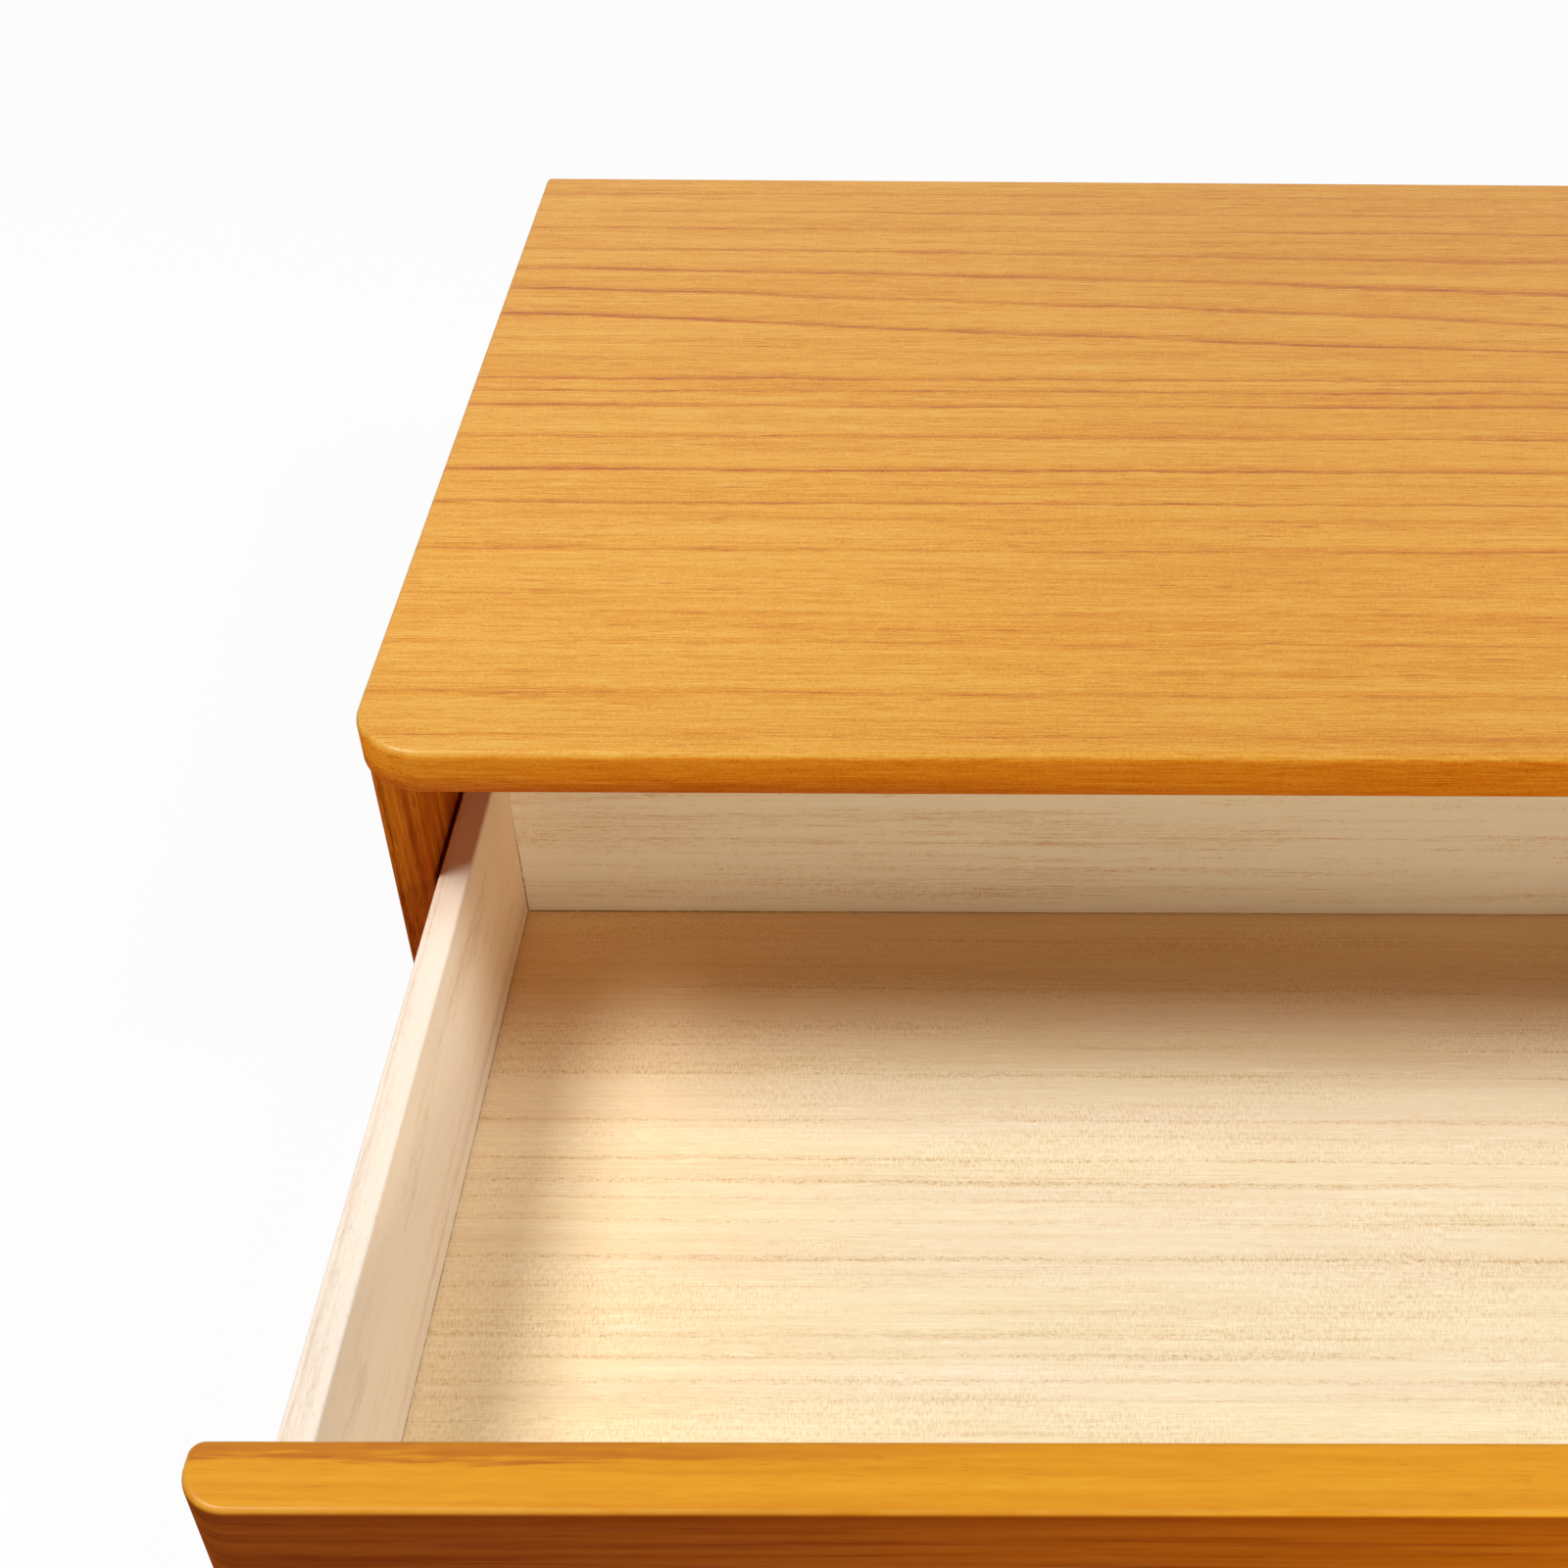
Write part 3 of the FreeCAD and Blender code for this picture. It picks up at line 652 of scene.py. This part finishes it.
def new_piece(shape, name, material, sharp_from):
    """A finished mesh as an object, smooth but for edges sharper than the given angle in degrees."""
    mesh = bpy.data.meshes.new(name)
    shape.to_mesh(mesh)
    shape.free()
    for face in mesh.polygons:
        face.use_smooth = True
    mesh.set_sharp_from_angle(angle=math.radians(sharp_from))
    mesh.materials.append(material)
    piece = bpy.data.objects.new(name, mesh)
    bpy.context.scene.collection.objects.link(piece)
    return piece


def stand_for(piece, node, body):
    """Put a piece in the place of a node of the frame."""
    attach(piece, body)
    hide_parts(node)


def ease(board, edges, radius, segments):
    """Round some edges of a board."""
    bmesh.ops.bevel(board, geom=edges, offset=radius * MM, offset_type="OFFSET",
                    segments=segments, profile=0.5, affect="EDGES", clamp_overlap=False, material=-1)


def edges_at(board, axis, place):
    """The edges that lie at one place of an axis, given in millimetres."""
    return [edge for edge in board.edges
            if all(abs(vert.co[axis] - place * MM) < NEAR for vert in edge.verts)]


def upright_edges_at(board, place):
    """The upright edges at one place of Y, given in millimetres."""
    return [edge for edge in edges_at(board, Y_AXIS, place)
            if abs(edge.verts[0].co.x - edge.verts[1].co.x) < NEAR
            and abs(edge.verts[0].co.z - edge.verts[1].co.z) > MM]


def board_blank(node):
    """A square-edged board that fills a node's box."""
    low, high = (Vector(corner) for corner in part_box(node))
    board = bmesh.new()
    bmesh.ops.create_cube(board, size=1.0)
    bmesh.ops.scale(board, vec=high - low, verts=board.verts)
    bmesh.ops.translate(board, vec=(low + high) / 2, verts=board.verts)
    return board


def finish_board(board, node, body, material):
    """A rounded board, evenly shaded, in the place of its node."""
    bmesh.ops.recalc_face_normals(board, faces=board.faces)
    piece = new_piece(board, node + "_rounded", material, sharp_from=40)
    even = piece.modifiers.new("even_shading", "WEIGHTED_NORMAL")
    even.keep_sharp = True
    stand_for(piece, node, body)


def make_top_board(finishes):
    """The top board, with finely rounded front corners and edges and a square rear."""
    front, rear, underside = -155.0, 155.0, 118.0
    board = board_blank("top_board")
    ease(board, upright_edges_at(board, front), radius=19.0, segments=24)
    for level, radius, segments in ((TOP_FACE, 2.0, 6), (underside, 0.8, 4)):
        square = set(edges_at(board, Y_AXIS, rear))
        rounded = [edge for edge in edges_at(board, Z_AXIS, level) if edge not in square]
        ease(board, rounded, radius, segments)
    finish_board(board, "top_board", "case", finishes["top_board"])


def make_drawer_front(finishes):
    """The drawer front, whose ends are rounded, more so at the outer face."""
    outer, inner, low, top = -333.0, -317.0, 3.0, 94.0
    board = board_blank("drawer_front")
    ease(board, upright_edges_at(board, outer), radius=10.5, segments=20)
    ease(board, upright_edges_at(board, inner), radius=3.0, segments=10)
    ease(board, edges_at(board, Z_AXIS, top), radius=1.5, segments=6)
    ease(board, edges_at(board, Z_AXIS, low), radius=1.0, segments=4)
    finish_board(board, "drawer_front", "drawer", finishes["drawer_front"])


def turned_shape(points):
    """A shape turned about Z from (radius, height) points in millimetres."""
    shape = bmesh.new()
    corners = [shape.verts.new((radius * MM, 0.0, height * MM)) for radius, height in points]
    edges = [shape.edges.new(pair) for pair in zip(corners, corners[1:])]
    bmesh.ops.spin(shape, geom=corners + edges, cent=(0, 0, 0), axis=(0, 0, 1), dvec=(0, 0, 0),
                   angle=2 * math.pi, steps=TURNED_SEGMENTS, use_merge=True)
    bmesh.ops.remove_doubles(shape, verts=shape.verts, dist=0.002 * MM)
    bmesh.ops.recalc_face_normals(shape, faces=shape.faces)
    return shape


def cut_cross_recess(shape, reach, half_width, depth):
    """Close the open head of a screw with a flat face that has a cross-shaped recess."""
    narrowing = 0.55
    rim = [edge for edge in shape.edges if edge.is_boundary]
    level = max(vert.co.z for edge in rim for vert in edge.verts)
    outline = []
    for quarter in range(4):
        turn = Matrix.Rotation(quarter * math.pi / 2, 4, "Z")
        for x, y in ((reach, -half_width), (reach, half_width), (half_width, half_width)):
            outline.append(shape.verts.new(turn @ Vector((x * MM, y * MM, level))))
    cross = [shape.edges.new(pair) for pair in zip(outline, outline[1:] + outline[:1])]
    bmesh.ops.bridge_loops(shape, edges=rim + cross)
    grown = bmesh.ops.extrude_edge_only(shape, edges=cross)["geom"]
    floor = [part for part in grown if isinstance(part, bmesh.types.BMVert)]
    floor_edges = [part for part in grown if isinstance(part, bmesh.types.BMEdge)]
    bmesh.ops.scale(shape, vec=(narrowing, narrowing, 1.0), verts=floor)
    bmesh.ops.translate(shape, vec=(0.0, 0.0, -depth * MM), verts=floor)
    bmesh.ops.contextual_create(shape, geom=floor_edges)
    bmesh.ops.recalc_face_normals(shape, faces=shape.faces)
    return shape


def countersunk_screw(length):
    """A wood screw: cross-recessed flat head, plain neck, threaded shank and a point."""
    neck_end, point_length, pitch = 3.2, 3.6, 1.1
    root_radius, crest_radius = 1.05, 1.36
    points = [(2.85, PROUD), (3.0, PROUD - 0.08), (1.35, -1.55), (1.35, -neck_end)]
    depth = neck_end
    while depth < length - point_length:
        points += [(root_radius, -depth - 0.35), (crest_radius, -depth - 0.55)]
        depth += pitch
    points += [(1.0, 3.0 - length), (0.0, 0.1 - length)]
    return cut_cross_recess(turned_shape(points), reach=1.55, half_width=0.36, depth=1.1)


def round_nail(length):
    """A nail with a slightly domed round head."""
    points = [(0.0, PROUD + 0.09), (0.9, PROUD + 0.06), (1.4, PROUD - 0.02), (1.5, -0.12), (0.68, -1.0),
              (0.66, 1.2 - length), (0.0, -length)]
    return turned_shape(points)


def corner_pin(length):
    """A round wooden pin whose trimmed end is eased a little."""
    points = [(0.0, PROUD), (1.05, PROUD), (1.24, PROUD - 0.14), (1.24, 0.2 - length),
              (1.0, -length), (0.0, -length)]
    return turned_shape(points)


def set_in(node, shape, places, material):
    """Set a copy of a fastener at each place, head outwards, as one piece that stands for its node."""
    pattern = bpy.data.meshes.new(node + "_pattern")
    shape.to_mesh(pattern)
    shape.free()
    whole = bmesh.new()
    for place, outward in places:
        count = len(whole.verts)
        whole.from_mesh(pattern)
        whole.verts.ensure_lookup_table()
        turn = Vector(outward).to_track_quat("Z", "X").to_matrix().to_4x4()
        stand = Matrix.Translation(Vector(place) * MM) @ turn
        bmesh.ops.transform(whole, matrix=stand, verts=whole.verts[count:])
    bpy.data.meshes.remove(pattern)
    return new_piece(whole, node + "_detail", material, sharp_from=32)


def make_fasteners(finishes):
    """The turned screws, nails and pins, in place of the frame's plain faceted ones."""
    sides = (-1, 1)
    front_places = [((x, INNER_FRONT_FACE, SCREW_LINE), (0, 1, 0)) for x in FRONT_SCREWS_ALONG]
    runner_places = [((side * RUNNER_FACE, y, SCREW_LINE), (-side, 0, 0))
                     for side in sides for y in RUNNER_SCREWS_ALONG]
    spots = [(x, z) for x in NAIL_COLUMNS for z in NAILS_UP_COLUMN]
    spots += [(x, z) for z in NAIL_ROWS for x in NAILS_ALONG_ROW]
    nail_places = [((x, REAR_FACE, z), (0, 1, 0)) for x, z in spots]
    pin_places = [((side * BOX_FACE, y, z), (side, 0, 0))
                  for side in sides for y in PIN_DEPTHS for z in PIN_HEIGHTS]
    front_screw = countersunk_screw(FRONT_SCREW_LENGTH)
    runner_screw = countersunk_screw(RUNNER_SCREW_LENGTH)
    nail, pin = round_nail(NAIL_LENGTH), corner_pin(PIN_LENGTH)
    for node, shape, places, body, slot in (
            ("drawer_front_screws", front_screw, front_places, "drawer", "screw_steel"),
            ("runner_screws", runner_screw, runner_places, "case", "screw_steel"),
            ("back_panel_nails", nail, nail_places, "case", "screw_steel"),
            ("drawer_corner_pins", pin, pin_places, "drawer", "dowel_wood")):
        stand_for(set_in(node, shape, places, finishes[node]), node, body)


def dress_nodes(finishes):
    """Give every node of the frame its own finish."""
    for name, material in finishes.items():
        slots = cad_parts[name].data.materials
        slots.clear()
        slots.append(material)


def place_camera():
    camera = bpy.data.objects.new("camera", bpy.data.cameras.new("camera"))
    bpy.context.scene.collection.objects.link(camera)
    turn = Matrix.Rotation(math.radians(CAMERA_YAW), 3, "Z")
    turn = turn @ Matrix.Rotation(math.radians(90 - CAMERA_PITCH), 3, "X")
    turn = turn @ Matrix.Rotation(math.radians(CAMERA_ROLL), 3, "Z")
    camera.rotation_euler = turn.to_euler()
    camera.location = CAMERA_PLACE
    camera.data.lens = FOCAL_LENGTH
    camera.data.shift_x = CAMERA_SHIFT
    camera.data.clip_start = CAMERA_NEAREST
    bpy.context.scene.camera = camera


def lamp(name, place, size, power, target, colour=(1.0, 1.0, 1.0)):
    light = bpy.data.lights.new(name, "AREA")
    light.shape = "ELLIPSE"
    light.size, light.size_y = size
    light.energy = power
    light.color = colour
    made = bpy.data.objects.new(name, light)
    made.location = place
    made.rotation_euler = (Vector(target) - Vector(place)).to_track_quat("-Z", "Y").to_euler()
    bpy.context.scene.collection.objects.link(made)


def seen_as_white(tree):
    """1 where the camera, a reflection or a clear material looks straight at the surroundings, else 0."""
    path = tree.nodes.new("ShaderNodeLightPath")
    total = path.outputs["Is Camera Ray"]
    for ray in ("Is Glossy Ray", "Is Transmission Ray"):
        larger = tree.nodes.new("ShaderNodeMath")
        larger.operation = "MAXIMUM"
        tree.links.new(total, larger.inputs[0])
        tree.links.new(path.outputs[ray], larger.inputs[1])
        total = larger.outputs[0]
    return total


def light_scene():
    """The three lamps, and a surround that is dim as light but white where it is seen."""
    for name, side in (("left", -1), ("right", 1)):
        x, y = side * OVERHEAD_LAMP_REACH, OVERHEAD_LAMP_DEPTH
        power = OVERHEAD_LAMP_POWER[name]
        lamp(name + "_overhead_lamp", (x, y, OVERHEAD_LAMP_HEIGHT), OVERHEAD_LAMP_SIZE, power, (x, y, 0.0))
    lamp("front_lamp", FRONT_LAMP_PLACE, FRONT_LAMP_SIZE, FRONT_LAMP_POWER, FRONT_LAMP_TARGET,
         FRONT_LAMP_COLOUR)
    world = bpy.data.worlds.new("surround")
    bpy.context.scene.world = world
    world.use_nodes = True
    tree = world.node_tree
    tree.nodes.clear()
    fill = tree.nodes.new("ShaderNodeBackground")
    fill.inputs["Color"].default_value = SURROUND_COLOUR
    fill.inputs["Strength"].default_value = SURROUND
    seen = tree.nodes.new("ShaderNodeBackground")
    seen.inputs["Color"].default_value = WHITE
    both = tree.nodes.new("ShaderNodeMixShader")
    tree.links.new(seen_as_white(tree), both.inputs[0])
    tree.links.new(fill.outputs[0], both.inputs[1])
    tree.links.new(seen.outputs[0], both.inputs[2])
    output = tree.nodes.new("ShaderNodeOutputWorld")
    tree.links.new(both.outputs[0], output.inputs["Surface"])


def lay_floor():
    """A pale floor, white where it is seen but for the unit's faint shadow."""
    shape = bmesh.new()
    bmesh.ops.create_grid(shape, x_segments=1, y_segments=1, size=FLOOR_HALF)
    mesh = bpy.data.meshes.new("floor")
    shape.to_mesh(mesh)
    shape.free()
    floor = bpy.data.objects.new("floor", mesh)
    bpy.context.scene.collection.objects.link(floor)
    finish = Finish("pale_floor")
    diffuse = finish.node("BsdfDiffuse", {"Color": FLOOR_COLOUR}).outputs[0]
    white = finish.node("Emission", {"Strength": 1.0}).outputs[0]
    factor = finish.times(seen_as_white(finish.tree), 1.0 - FLOOR_SHADE)
    mixed = finish.node("MixShader", {0: factor, 1: diffuse, 2: white})
    mesh.materials.append(finish.close(mixed.outputs[0]))


finishes = finish_by_node()
dress_nodes(finishes)
make_top_board(finishes)
make_drawer_front(finishes)
make_fasteners(finishes)
lay_floor()
light_scene()
place_camera()
bpy.context.scene.view_settings.view_transform = "Standard"
